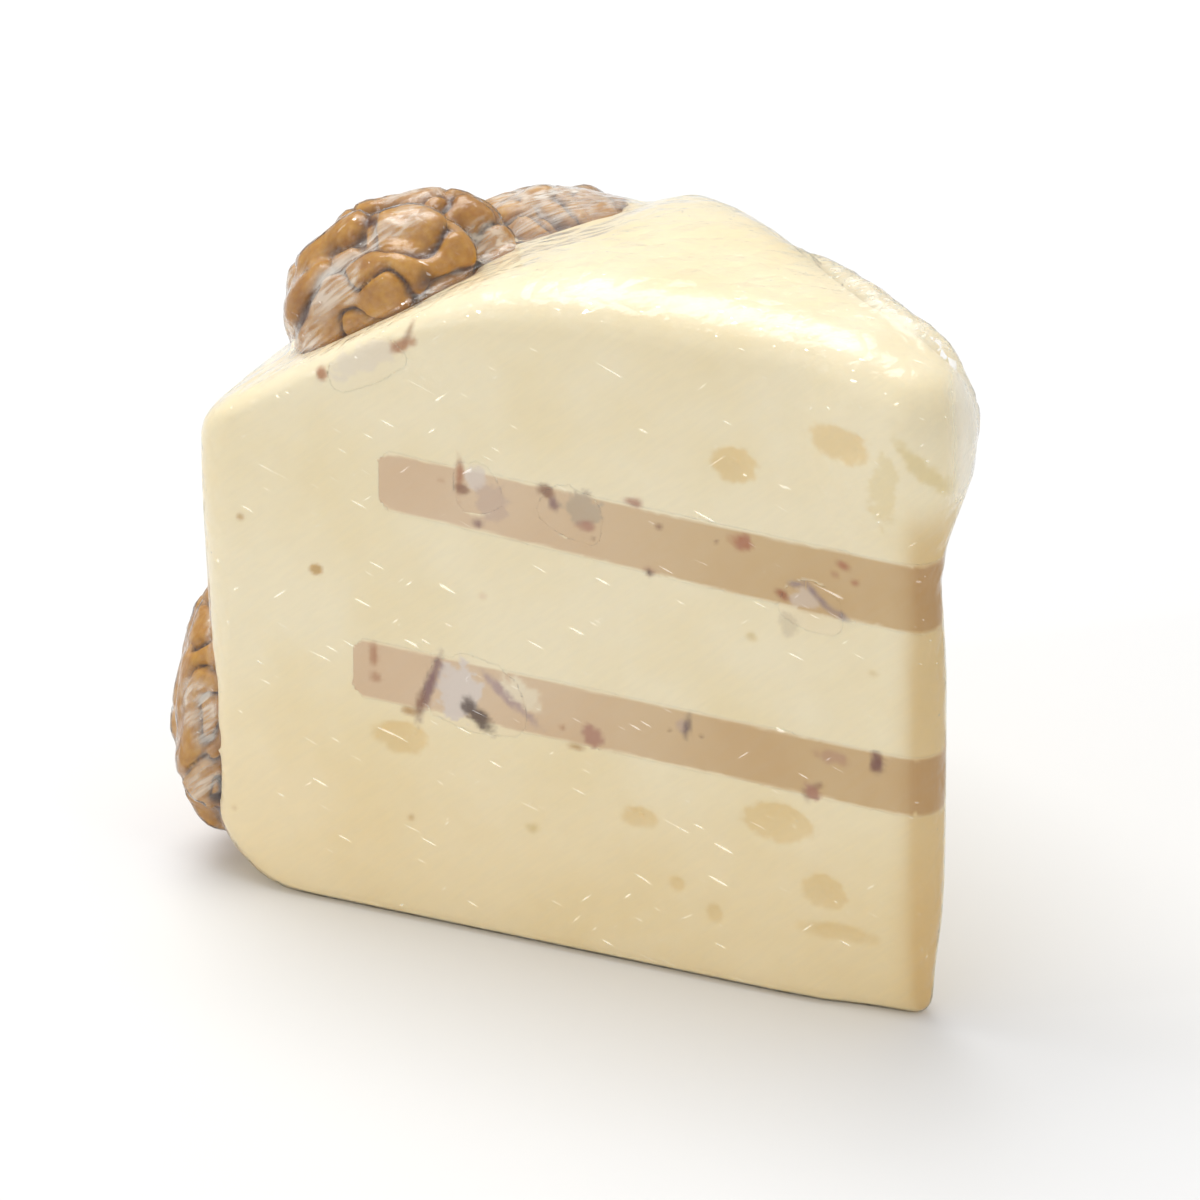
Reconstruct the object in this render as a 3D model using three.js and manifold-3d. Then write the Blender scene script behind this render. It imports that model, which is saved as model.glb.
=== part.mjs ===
// A wedge cut from a round walnut cheese cake and wrapped in clear film.
// White cream cheese holds two discs of tan nut cheese. Walnut halves are pressed into the shoulder
// and the rim, and walnut pieces lie where the knife went through them.
// Millimetres, +Z up. The front cut looks along -Y, and the tip of the wedge is at +X.
import * as THREE from "three";
import { mergeVertices } from "three/addons/utils/BufferGeometryUtils.js";
import Module from "manifold-3d";

const wasm = await Module();
wasm.setup();

const radians = THREE.MathUtils.degToRad;
const lerp = THREE.MathUtils.lerp;
const smooth = THREE.MathUtils.smoothstep;
const bell = (x, spread) => Math.exp(-((x / spread) ** 2));

// The cake that the wedge was cut from. All radii are from its axis, where both cuts meet.
const CAKE_RADIUS = 91;
const WEDGE_ANGLE = radians(38);
const TOP_HEIGHT = 76.3;
const SHOULDER_RADIUS = 55.7; // the flat top ends here and slopes down to the rim
const SHOULDER_SLOPE = 0.68;
const SHOULDER_BLEND = 4.5;
const TIP_DROOP = { depth: 3, from: 4, to: 19 }; // the soft top hangs towards the tip
const MOUND = { height: 2, radius: 82, along: 16, reach: 14, spread: 9 }; // pushed up round the walnuts

// Round edges, as the tight film presses them. in is measured inwards and down from the top.
const TIP_ROUND = 3.2;
const RIM_CORNER_ROUND = 4.5;
const TIP_EDGE = { in: 5.5, down: 7 };
const TOP_EDGE = { in: 6.5, down: 5 };
const SHOULDER_EDGE = { in: 2.4, down: 2.2 };
const BASE_EDGE_ROUND = 1.4;
const BASE_RIM = { in: 11, up: 13 }; // the mould's round bottom edge
const RIM_WAIST = { height: 25, spread: 14, out: -0.9 };
const RIM_FADE = { from: 6, to: 1 }; // the waist starts and is whole at these distances from the rim
const SHARPENS = { before: 4, after: 12 }; // the top edge gets sharper over this part of the shoulder
const TOP_EDGE_MOST = 0.7; // the most that the round edge may take of the half width at the narrow tip

// The soft top squeezed out over the tip, the waist under it, the belly and the narrow foot
const LOBE = { height: 65.5, spread: 8.5, out: 3.1 };
const WAIST = { height: 50, spread: 6, out: -0.8 };
const FOOT = { height: 0, spread: 9, out: -1.5 };
const TIP_REACH = 11; // how far from the axis these forms stay whole, and over what length they fade
const TIP_FADE = 12;

const LAYERS = {
  tan_layer_lower: { radius: 72.1, rim: { low: 24.8, high: 31.7 }, tip: { low: 23.5, high: 30.5 } },
  tan_layer_upper: { radius: 69.1, rim: { low: 47, high: 53.9 }, tip: { low: 43.9, high: 52.4 } },
};
const LAYER_END_ROUND = 1.2;
const LAYER_PAST = radians(6); // a layer is made this much wider than the wedge, and the cuts trim it
const LAYER_FAN = { x: 9, y: -3 }; // beyond the tip, where the faces of a layer meet

const GAP = 0.3; // between two pieces that touch

// Walnut halves. along is the angle round the cake from the front cut, and turn lays the long axis.
const SHOULDER_WALNUTS = {
  walnut_shoulder_front: {
    radius: 75.7, along: 12.5, turn: 6, length: 28, width: 21, height: 13.5, seed: 1.3, steps: [40, 18],
  },
  walnut_shoulder_back: {
    radius: 76.7, along: 27.4, turn: 24, length: 21, width: 17, height: 9.6, seed: 4.1, steps: [30, 13],
  },
};
const RIM_WALNUTS = {
  walnut_rim_front: {
    level: 17.2, along: 7, turn: 8, length: 31, width: 20, height: 11.4, seed: 2.2, steps: [34, 14],
  },
  walnut_rim_back: {
    level: 24, along: 26, turn: 70, length: 27, width: 20, height: 9.5, seed: 5.7, steps: [28, 12],
  },
};
const WALNUT_SUNK = { shoulder: 3.6, rim: 5.2 }; // how deep a walnut half is pressed into the cheese
const WALNUT_SQUARENESS = 2.7; // 2 gives an oval plan, and more gives blunter ends
const WALNUT_UNDERSIDE = 0.26; // share of its height that lies under its widest line
const WALNUT_FOLDS = 0.2; // share of its size that the folds rise and fall by
const WALNUT_NOTCH = { deep: 0.16, wide: 0.16, from: 0.55 }; // the cleft in both ends
const WALNUT_ROWS = { round: 0.8, polar: 0.616 }; // this share of the rows covers this share of the arc
const KNIFE_CLEAR = 0.6; // what the knife left between the front cut and a walnut on the rim

// Walnut pieces that a cut went through: the middle's distance from the axis, height and tilt
const CUT_WALNUTS = {
  walnut_in_lower_layer: {
    cut: "front", radius: 57.7, level: 28.2, length: 15, depth: 9, height: 8.6, tilt: 4, seed: 0.4,
  },
  walnut_in_upper_layer: {
    cut: "front", radius: 46.6, level: 51.2, length: 8.6, depth: 6, height: 5.6, tilt: 18, seed: 3.2,
  },
  walnut_in_upper_rim: {
    cut: "front", radius: 57.8, level: 51.9, length: 6.2, depth: 5, height: 5.6, tilt: -20, seed: 5.1,
  },
  walnut_in_upper_tip: {
    cut: "front", radius: 19.5, level: 46, length: 8.4, depth: 6, height: 5.4, tilt: 12, seed: 1.9,
  },
  walnut_in_shoulder: {
    cut: "front", radius: 70.5, level: 63.6, length: 12.5, depth: 7, height: 4.4, tilt: -32, seed: 6.5,
  },
  walnut_in_lower_back: {
    cut: "back", radius: 37, level: 29, length: 12, depth: 8, height: 7.4, tilt: 10, seed: 2.7,
  },
  walnut_in_upper_back: {
    cut: "back", radius: 61, level: 50, length: 9, depth: 6, height: 6, tilt: -16, seed: 4.4,
  },
};
const CUT_WALNUT_STEPS = [12, 7];

// Air holes in the two cuts: distance from the axis, height, width and height of each
const HOLES = {
  front: [
    [15.9, 65.8, 7.4, 3.9],
    [28.5, 60.2, 5.2, 4],
    [66.4, 21.1, 6.2, 3.7],
    [23.4, 20.2, 8.1, 4.4],
    [18.1, 13.2, 4.9, 4],
    [16.5, 8.7, 8.4, 1.9],
    [39.1, 17.5, 3.9, 2.3],
    [34.8, 10.7, 1.8, 1.7],
    [30.6, 8.2, 1.8, 2.1],
  ],
  back: [
    [28, 63, 6.5, 4],
    [52, 39, 5, 3],
    [44, 14, 7, 3.8],
    [66, 16, 4, 3.4],
  ],
};
const HOLE_DEPTH = 0.8;
const HOLE_STEPS = [10, 6];

const FILM_STEPS = { along: 16, round: 8 };

// The bunched film over the back edge of the top and the tip, where it stands off the cheese:
// distance from the axis, degrees round the cake, height, and half the thickness of the bunch
const FILM_GATHER = [
  [40, 35.4, 74.3, 0.5],
  [32, 35, 75.1, 1.6],
  [24.1, 34, 75.3, 2.1],
  [17, 34.2, 74.8, 2.3],
  [11.3, 40.5, 73.3, 2.3],
  [9.1, 49, 69.8, 2],
  [7.6, 54.5, 66.5, 1.3],
  [7, 54.5, 64, 0.5],
];

// Where the rings of the sides and the top lie: shares of a wall's height, degrees of a round edge,
// and shares of the way from the middle of the top to its edge
const TOP_MIDDLE = new THREE.Vector2(-50, 17);
const WALL_RINGS = [0, 0.05, 0.1, 0.15, 0.22, 0.34, 0.46, 0.58, 0.66, 0.74, 0.81, 0.87, 0.93, 1];
const BASE_EDGE_RINGS = [0, 30, 60];
const TOP_EDGE_RINGS = [20, 40, 65, 90];
const TOP_RINGS = [0.84, 0.6, 0.3];
const OUTLINE_STEPS = { corner: 4, rim: 8, front: 14, tip: 8, back: 11 };
const LAYER_STEPS = 12;
const BEYOND = 300; // larger than the wedge

// The two cuts as frames: local X runs along the cut, local Y into the cheese
const CUTS = {
  front: { turn: 0, side: -1 },
  back: { turn: Math.PI - WEDGE_ANGLE, side: 1 },
};

// A closed mesh as a solid, and a solid as a mesh's geometry
function solidOf(geometry) {
  const bare = geometry.index ? geometry.toNonIndexed() : geometry.clone();
  bare.deleteAttribute("normal");
  bare.deleteAttribute("uv");
  const merged = mergeVertices(bare, 1e-3);
  return new wasm.Manifold(
    new wasm.Mesh({
      numProp: 3,
      vertProperties: new Float32Array(merged.attributes.position.array),
      triVerts: new Uint32Array(merged.index.array),
    }),
  );
}

function geometryOf(solid) {
  const { numProp, vertProperties, triVerts } = solid.getMesh();
  const position = new Float32Array((vertProperties.length / numProp) * 3);
  for (let i = 0; i < position.length / 3; i++) {
    position.set(vertProperties.subarray(i * numProp, i * numProp + 3), i * 3);
  }
  return new THREE.BufferGeometry()
    .setAttribute("position", new THREE.BufferAttribute(position, 3))
    .setIndex(new THREE.BufferAttribute(triVerts, 1));
}

// A closed solid through rings of the same number of points, with a middle point at each end
function loft(rings, first, last) {
  const size = rings[0].length;
  const position = [...rings.flat(), first, last].flatMap((p) => [p.x, p.y, p.z]);
  const index = [];
  for (let ring = 0; ring + 1 < rings.length; ring++) {
    for (let i = 0; i < size; i++) {
      const a = ring * size + i;
      const b = ring * size + ((i + 1) % size);
      index.push(a, b, a + size, b, b + size, a + size);
    }
  }
  const low = rings.length * size;
  const top = (rings.length - 1) * size;
  for (let i = 0; i < size; i++) {
    const next = (i + 1) % size;
    index.push(low, next, i, low + 1, top + i, top + next);
  }
  return new THREE.BufferGeometry()
    .setAttribute("position", new THREE.Float32BufferAttribute(position, 3))
    .setIndex(index);
}

// Height of the top over a point of the plan: flat, drooping to the tip, then the sloped shoulder
function topHeight(plan) {
  const radius = plan.length();
  const past = (radius - SHOULDER_RADIUS) / SHOULDER_BLEND;
  const shoulder = SHOULDER_SLOPE * SHOULDER_BLEND * Math.log1p(Math.exp(past));
  const droop = TIP_DROOP.depth * (1 - smooth(radius, TIP_DROOP.from, TIP_DROOP.to));
  const along = THREE.MathUtils.radToDeg(Math.atan2(plan.y, -plan.x)) - MOUND.along;
  const mound = MOUND.height * bell(radius - MOUND.radius, MOUND.reach) * bell(along, MOUND.spread);
  return TOP_HEIGHT - shoulder - droop + mound;
}

// How far the forms round the tip push a wall out, at a distance from the axis and a height
function tipShare(radius) {
  return 1 - smooth(radius, TIP_REACH, TIP_REACH + TIP_FADE);
}

function tipPush(radius, z) {
  let out = 0;
  for (const form of [LOBE, WAIST, FOOT]) out += form.out * bell(z - form.height, form.spread);
  return tipShare(radius) * out;
}

// How much the round bottom edge narrows the cake at a height
function rimShare(z) {
  const up = Math.max(0, 1 - z / BASE_RIM.up);
  return 1 - (BASE_RIM.in / CAKE_RADIUS) * (1 - Math.sqrt(1 - up * up));
}

// A wedge of the cake seen from above, counter-clockwise, as points with their outward directions
function wedgeOutline(radius, steps) {
  const points = [];
  const arc = (centre, size, from, to, count) => {
    for (let i = 0; i < count; i++) {
      const angle = lerp(from, to, i / count);
      const out = new THREE.Vector2(Math.cos(angle), Math.sin(angle));
      points.push({ place: centre.clone().addScaledVector(out, size), out });
    }
  };
  const line = (from, to, out, count) => {
    for (let i = 0; i < count; i++) {
      points.push({ place: from.clone().lerp(to, i / count), out });
    }
  };
  const half = WEDGE_ANGLE / 2;
  const quarter = Math.PI / 2;
  const frontOut = new THREE.Vector2(0, -1);
  const backOut = new THREE.Vector2(Math.sin(WEDGE_ANGLE), Math.cos(WEDGE_ANGLE));
  const tip = new THREE.Vector2(-Math.cos(half), Math.sin(half)).multiplyScalar(TIP_ROUND / Math.sin(half));
  const away = radius - RIM_CORNER_ROUND;
  const turn = Math.asin(RIM_CORNER_ROUND / away);
  const corner = (along) => new THREE.Vector2(-Math.cos(along), Math.sin(along)).multiplyScalar(away);
  const frontCorner = corner(turn);
  const backCorner = corner(WEDGE_ANGLE - turn);
  const edge = (centre, out, size) => centre.clone().addScaledVector(out, size);
  const axis = new THREE.Vector2(0, 0);

  arc(backCorner, RIM_CORNER_ROUND, quarter - WEDGE_ANGLE, Math.PI - WEDGE_ANGLE + turn, steps.corner);
  arc(axis, radius, Math.PI - WEDGE_ANGLE + turn, Math.PI - turn, steps.rim);
  arc(frontCorner, RIM_CORNER_ROUND, Math.PI - turn, 3 * quarter, steps.corner);
  line(edge(frontCorner, frontOut, RIM_CORNER_ROUND), edge(tip, frontOut, TIP_ROUND), frontOut, steps.front);
  arc(tip, TIP_ROUND, -quarter, quarter - WEDGE_ANGLE, steps.tip);
  line(edge(tip, backOut, TIP_ROUND), edge(backCorner, backOut, RIM_CORNER_ROUND), backOut, steps.back);
  return points;
}

// The whole wedge: rings climb the sides, roll over the edge and close on the top. grow adds a skin.
function wedgeBody(grow) {
  const columns = wedgeOutline(CAKE_RADIUS, OUTLINE_STEPS).map(({ place, out }) => {
    const radius = place.length();
    const sharp = smooth(radius, SHOULDER_RADIUS - SHARPENS.before, SHOULDER_RADIUS + SHARPENS.after);
    const size = (key) => {
      return lerp(lerp(TOP_EDGE[key], SHOULDER_EDGE[key], sharp), TIP_EDGE[key], tipShare(radius));
    };
    const wallTop = topHeight(place) - size("down");
    const halfWidth = Math.max(TIP_ROUND, radius * Math.tan(WEDGE_ANGLE / 2)) + tipPush(radius, wallTop);
    const inset = Math.min(size("in"), TOP_EDGE_MOST * halfWidth);
    const atRim = smooth(radius, CAKE_RADIUS - RIM_FADE.from, CAKE_RADIUS - RIM_FADE.to);
    return { place, out, radius, atRim, inset, drop: size("down"), wallTop };
  });
  const wall = ({ place, out, radius, atRim }, z) => {
    const rimPush = RIM_WAIST.out * bell(z - RIM_WAIST.height, RIM_WAIST.spread);
    const plan = place.clone().multiplyScalar(rimShare(z));
    return plan.addScaledVector(out, tipPush(radius, z) + rimPush * atRim + grow);
  };
  const at = (plan, z) => new THREE.Vector3(plan.x, plan.y, z);
  const rings = [];

  for (const angle of BASE_EDGE_RINGS.map(radians)) {
    const inwards = BASE_EDGE_ROUND * (1 - Math.sin(angle));
    const z = BASE_EDGE_ROUND * (1 - Math.cos(angle));
    rings.push(columns.map((c) => at(wall(c, z).addScaledVector(c.out, -inwards), z - grow)));
  }
  for (const share of WALL_RINGS) {
    rings.push(
      columns.map((c) => {
        const z = lerp(BASE_EDGE_ROUND, c.wallTop, share);
        return at(wall(c, z), z);
      }),
    );
  }
  for (const angle of TOP_EDGE_RINGS.map(radians)) {
    const under = 1 - Math.sin(angle);
    rings.push(
      columns.map((c) => {
        const plan = wall(c, c.wallTop).addScaledVector(c.out, -c.inset * (1 - Math.cos(angle)));
        return at(plan, topHeight(plan) - (c.drop - grow) * under + grow * (1 - under));
      }),
    );
  }
  const edge = rings.at(-1).map((p) => new THREE.Vector2(p.x, p.y));
  for (const share of TOP_RINGS) {
    rings.push(
      edge.map((p) => {
        const plan = TOP_MIDDLE.clone().lerp(p, share);
        return at(plan, topHeight(plan) + grow);
      }),
    );
  }
  return loft(rings, at(TOP_MIDDLE, -grow), at(TOP_MIDDLE, topHeight(TOP_MIDDLE) + grow));
}

// A slab of tan cheese that reaches past both cuts and the tip. Its faces fan out from a point beyond
// the tip, because the layer isn't as thick or as high there as at the rim. grow makes its pocket.
function layerSlab({ radius, rim, tip }, grow) {
  const fan = (z) => new THREE.Vector3(LAYER_FAN.x, LAYER_FAN.y, z);
  const ring = (inset, z) => {
    const points = [];
    for (let i = 0; i <= LAYER_STEPS; i++) {
      const along = lerp(WEDGE_ANGLE + LAYER_PAST, -LAYER_PAST, i / LAYER_STEPS);
      const out = new THREE.Vector3(-Math.cos(along), Math.sin(along), 0);
      points.push(out.multiplyScalar(radius + grow - inset).setZ(z));
    }
    return points;
  };
  const low = rim.low - grow;
  const high = rim.high + grow;
  const rings = [
    [...ring(LAYER_END_ROUND, low), fan(tip.low - grow)],
    [...ring(0, low + LAYER_END_ROUND), fan(lerp(tip.low, tip.high, 0.2))],
    [...ring(0, high - LAYER_END_ROUND), fan(lerp(tip.low, tip.high, 0.8))],
    [...ring(LAYER_END_ROUND, high), fan(tip.high + grow)],
  ];
  return loft(rings, rings.at(0).at(-1), rings.at(-1).at(-1));
}

// The folds of a walnut, from 0 in a furrow to 1 on a fold, over the plan of a half: x runs along it
function walnutFold(x, y, seed) {
  const bend = 0.55 * Math.sin(2.6 * x + seed) + 0.3 * Math.sin(5.4 * x - 3 * y + 2 * seed);
  const ridges = Math.abs(Math.sin(5.6 * y + bend));
  const breaks = Math.abs(Math.sin(3.7 * x + 1.3 * Math.sin(3.2 * y + seed) + 0.7 * seed));
  return Math.pow(ridges, 0.6) * (0.5 + 0.5 * Math.pow(breaks, 0.5));
}

// One walnut half lying on its flat side, its long axis along X. Its rows lie mostly on the round side.
function walnutHalf({ length, width, height, seed }, [around, up], grow) {
  const half = new THREE.SphereGeometry(1, around, up).rotateX(Math.PI / 2);
  const position = half.attributes.position;
  const uv = half.attributes.uv;
  for (let i = 0; i < position.count; i++) {
    const row = 1 - uv.getY(i);
    const share = row / WALNUT_ROWS.round;
    const last = (row - WALNUT_ROWS.round) / (1 - WALNUT_ROWS.round);
    const polar = Math.PI * (share < 1 ? share * WALNUT_ROWS.polar : lerp(WALNUT_ROWS.polar, 1, last));
    const plan = [position.getX(i), position.getY(i)];
    const blunt = Math.hypot(...plan.map((v) => Math.pow(Math.abs(v), WALNUT_SQUARENESS / 2))) || 1;
    const reach = Math.sin(polar) / Math.pow(blunt, 2 / WALNUT_SQUARENESS);
    const [x, y] = plan.map((v) => v * reach);
    const z = Math.cos(polar);
    const fold = walnutFold(x, y, seed);
    const swell = 1 - WALNUT_FOLDS + WALNUT_FOLDS * fold;
    const cleft = bell(y, WALNUT_NOTCH.wide) * smooth(Math.abs(x), WALNUT_NOTCH.from, 1);
    const notch = 1 - WALNUT_NOTCH.deep * cleft;
    const rise = height * (z > 0 ? (1 - WALNUT_UNDERSIDE) * swell : WALNUT_UNDERSIDE);
    position.setXYZ(
      i,
      x * ((length / 2) * swell * notch + grow),
      y * ((width / 2) * swell + grow),
      z * (rise + grow),
    );
  }
  return half;
}

// Turns a walnut on its flat side, lays it against a surface and puts it there
function lay(geometry, turn, facing, place) {
  const stand = new THREE.Quaternion().setFromUnitVectors(new THREE.Vector3(0, 0, 1), facing);
  return geometry
    .rotateZ(radians(turn))
    .applyQuaternion(stand)
    .translate(place.x, place.y, place.z);
}

function shoulderWalnut(nut, grow) {
  const outward = new THREE.Vector2(-Math.cos(radians(nut.along)), Math.sin(radians(nut.along)));
  const middle = outward.clone().multiplyScalar(nut.radius);
  const facing = new THREE.Vector3(outward.x * SHOULDER_SLOPE, outward.y * SHOULDER_SLOPE, 1).normalize();
  const place = new THREE.Vector3(middle.x, middle.y, topHeight(middle));
  place.addScaledVector(facing, WALNUT_UNDERSIDE * nut.height - WALNUT_SUNK.shoulder);
  return lay(walnutHalf(nut, nut.steps, grow), nut.turn - nut.along, facing, place);
}

function rimWalnut(nut, grow) {
  const facing = new THREE.Vector3(-Math.cos(radians(nut.along)), Math.sin(radians(nut.along)), 0);
  const out = CAKE_RADIUS * rimShare(nut.level) + WALNUT_UNDERSIDE * nut.height - WALNUT_SUNK.rim;
  const place = facing.clone().multiplyScalar(out).setZ(nut.level);
  return lay(walnutHalf(nut, nut.steps, grow), nut.turn, facing, place);
}

// A piece of walnut whose middle lies just inside a cut
function cutWalnut(nut, grow) {
  const { turn, side } = CUTS[nut.cut];
  const shape = { length: nut.length, width: nut.depth, height: nut.height, seed: nut.seed };
  return walnutHalf(shape, CUT_WALNUT_STEPS, grow)
    .translate(0, 0, -WALNUT_UNDERSIDE * nut.height)
    .rotateY(radians(nut.tilt))
    .translate(side * nut.radius, 0.5 - tipPush(nut.radius, nut.level), nut.level)
    .rotateZ(turn);
}

function airHole([radius, level, width, height], { turn, side }) {
  return new THREE.SphereGeometry(0.5, ...HOLE_STEPS)
    .rotateX(Math.PI / 2)
    .scale(width, 2 * HOLE_DEPTH, height)
    .translate(side * radius, -tipPush(radius, level), level)
    .rotateZ(turn);
}

// The bunch of film: a round, tapered strand along the back edge and over the tip
function filmStrand() {
  const points = FILM_GATHER.map(([radius, degrees, z]) => {
    const angle = radians(degrees);
    return new THREE.Vector3(-radius * Math.cos(angle), radius * Math.sin(angle), z);
  });
  const path = new THREE.CatmullRomCurve3(points);
  const { along, round } = FILM_STEPS;
  const { normals, binormals } = path.computeFrenetFrames(along);
  const rings = [];
  for (let i = 0; i <= along; i++) {
    const share = i / along;
    const place = path.getPoint(share);
    const knot = share * (FILM_GATHER.length - 1);
    const low = Math.min(Math.floor(knot), FILM_GATHER.length - 2);
    const thick = lerp(FILM_GATHER[low][3], FILM_GATHER[low + 1][3], knot - low);
    const ring = [];
    for (let k = 0; k < round; k++) {
      const angle = (2 * Math.PI * k) / round;
      const point = place.clone();
      point.addScaledVector(normals[i], thick * Math.cos(angle));
      point.addScaledVector(binormals[i], thick * Math.sin(angle));
      ring.push(point);
    }
    rings.push(ring);
  }
  return loft(rings, path.getPoint(0), path.getPoint(1));
}

const CHEESE = new THREE.MeshStandardMaterial({ color: 0xf0e2bd, roughness: 0.4, metalness: 0 });
const TAN_CHEESE = new THREE.MeshStandardMaterial({ color: 0xc9ab82, roughness: 0.45, metalness: 0 });
const WALNUT_SKIN = new THREE.MeshStandardMaterial({ color: 0xa9713a, roughness: 0.5, metalness: 0 });
const WALNUT_FLESH = new THREE.MeshStandardMaterial({ color: 0xcdb497, roughness: 0.6, metalness: 0 });
const FILM = new THREE.MeshStandardMaterial({ color: 0xf4f1e6, roughness: 0.15, metalness: 0 });

const wedge = new THREE.Group();

function add(name, solid, material) {
  const mesh = new THREE.Mesh(geometryOf(solid), material);
  mesh.name = name;
  wedge.add(mesh);
}

const body = solidOf(wedgeBody(0));
let cheese = body;

// Everything beyond the plane that the knife left, for a walnut that reached over the front cut
const beyondKnife = solidOf(
  new THREE.BoxGeometry(BEYOND, BEYOND, BEYOND).translate(0, KNIFE_CLEAR - BEYOND / 2, 0),
);

for (const [name, nut] of Object.entries(SHOULDER_WALNUTS)) {
  add(name, solidOf(shoulderWalnut(nut, 0)), WALNUT_SKIN);
  cheese = cheese.subtract(solidOf(shoulderWalnut(nut, GAP)));
}
for (const [name, nut] of Object.entries(RIM_WALNUTS)) {
  add(name, solidOf(rimWalnut(nut, 0)).subtract(beyondKnife), WALNUT_SKIN);
  cheese = cheese.subtract(solidOf(rimWalnut(nut, GAP)));
}

const pockets = [];
for (const [name, nut] of Object.entries(CUT_WALNUTS)) {
  const pocket = solidOf(cutWalnut(nut, GAP));
  add(name, solidOf(cutWalnut(nut, 0)).intersect(body), WALNUT_FLESH);
  cheese = cheese.subtract(pocket);
  pockets.push(pocket);
}

for (const [name, layer] of Object.entries(LAYERS)) {
  let slab = solidOf(layerSlab(layer, 0)).intersect(body);
  for (const pocket of pockets) slab = slab.subtract(pocket);
  add(name, slab, TAN_CHEESE);
  cheese = cheese.subtract(solidOf(layerSlab(layer, GAP)));
}

for (const [name, holes] of Object.entries(HOLES)) {
  for (const hole of holes) cheese = cheese.subtract(solidOf(airHole(hole, CUTS[name])));
}
add("white_cheese", cheese, CHEESE);
add("film_gather", solidOf(filmStrand()).subtract(solidOf(wedgeBody(GAP))), FILM);

// The origin goes to the middle of the part's footprint, on the surface that it stands on.
const box = new THREE.Box3().setFromObject(wedge, true);
wedge.position.set(-(box.min.x + box.max.x) / 2, -(box.min.y + box.max.y) / 2, -box.min.z);

export default wedge;
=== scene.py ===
# %% [markdown]
# # A wedge of walnut cheese in clear film
# The real thing is cut from a round cake of soft white cheese with two discs of tan nut cheese in it.
# Walnut halves are pressed into its shoulder and rim, walnut pieces lie where the knife went through
# them, and stretch film is pulled tight round it all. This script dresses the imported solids: each cell
# makes one piece or one finish, in the frame of the solids and in metres.

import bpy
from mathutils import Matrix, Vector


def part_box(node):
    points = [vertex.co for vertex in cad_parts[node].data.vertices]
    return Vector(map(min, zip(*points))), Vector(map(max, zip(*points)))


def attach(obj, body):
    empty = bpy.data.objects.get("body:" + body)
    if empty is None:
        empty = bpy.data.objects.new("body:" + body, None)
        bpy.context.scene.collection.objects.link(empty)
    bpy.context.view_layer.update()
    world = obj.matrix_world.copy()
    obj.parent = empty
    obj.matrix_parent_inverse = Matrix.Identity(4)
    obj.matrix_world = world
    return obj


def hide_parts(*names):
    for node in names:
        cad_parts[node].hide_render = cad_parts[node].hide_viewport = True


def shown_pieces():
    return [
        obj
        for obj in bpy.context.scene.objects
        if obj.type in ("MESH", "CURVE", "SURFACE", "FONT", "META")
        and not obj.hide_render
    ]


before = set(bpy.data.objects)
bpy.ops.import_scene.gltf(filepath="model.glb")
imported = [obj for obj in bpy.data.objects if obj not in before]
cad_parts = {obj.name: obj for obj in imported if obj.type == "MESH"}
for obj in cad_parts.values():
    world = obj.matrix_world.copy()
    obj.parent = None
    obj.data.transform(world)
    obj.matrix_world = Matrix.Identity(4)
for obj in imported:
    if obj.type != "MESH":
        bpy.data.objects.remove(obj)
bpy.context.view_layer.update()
print("solids:", ", ".join(sorted(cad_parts)))

# %% Imports and units
import math

import bmesh
import bpy
from mathutils import Vector, noise
from mathutils.bvhtree import BVHTree

MM = 0.001
scene = bpy.context.scene
noise.seed_set(5)  # noise_vector starts from random offsets, and they have to be the same each run

# %% [markdown]
# ## Places on the cake
# Both cuts meet at the axis of the cake, and everything on them is easiest to place from there: a
# distance from the axis and a height. The lower tan disc ends 72.1 mm from the axis and its side lies
# in the front cut, so its box gives the axis.

# %% The cake's axis and the two cuts
TAN_RADIUS = 72.1 * MM
WEDGE_ANGLE = math.radians(38)

tan_low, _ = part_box("tan_layer_lower")
AXIS = Vector((tan_low[0] + TAN_RADIUS, tan_low[1], 0))
CUT_OUT = {
    "front": Vector((0, -1, 0)),
    "back": Vector((math.sin(WEDGE_ANGLE), math.cos(WEDGE_ANGLE), 0)),
}
CUT_ALONG = {
    "front": Vector((-1, 0, 0)),
    "back": Vector((-math.cos(WEDGE_ANGLE), math.sin(WEDGE_ANGLE), 0)),
}
print("axis of the cake at", [round(v, 4) for v in AXIS])


def on_cut(place, cut):
    """Distance from the axis and height, in millimetres, of a place on or near a cut."""
    return (place - AXIS).dot(CUT_ALONG[cut]) / MM, place.z / MM


# %% [markdown]
# ## Meshes
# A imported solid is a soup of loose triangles. A copy of it is merged first. Where a surface has to be
# smooth and even, the copy is remeshed with small cubes of its volume, which also joins shells that
# overlap, and then smoothed.

# %% Mesh helpers
def merged_copy(*nodes):
    """The triangles of some solids as one bmesh, with shared corners merged."""
    bm = bmesh.new()
    for name in nodes:
        bm.from_mesh(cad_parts[name].data)
    bmesh.ops.remove_doubles(bm, verts=bm.verts, dist=1e-6)
    return bm


def as_object(bm, name, crease=180):
    """A smooth-shaded object, with a sharp edge where two faces meet at more than crease degrees."""
    mesh = bpy.data.meshes.new(name)
    bm.to_mesh(mesh)
    bm.free()
    mesh.polygons.foreach_set("use_smooth", [True] * len(mesh.polygons))
    mesh.set_sharp_from_angle(angle=math.radians(crease))
    piece = bpy.data.objects.new(name, mesh)
    scene.collection.objects.link(piece)
    return piece


def baked(piece):
    """Applies a piece's modifiers and gives its mesh back as a bmesh. The piece itself goes."""
    bpy.context.view_layer.update()
    bm = bmesh.new()
    bm.from_object(piece, bpy.context.evaluated_depsgraph_get())
    bpy.data.objects.remove(piece)
    return bm


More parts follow.
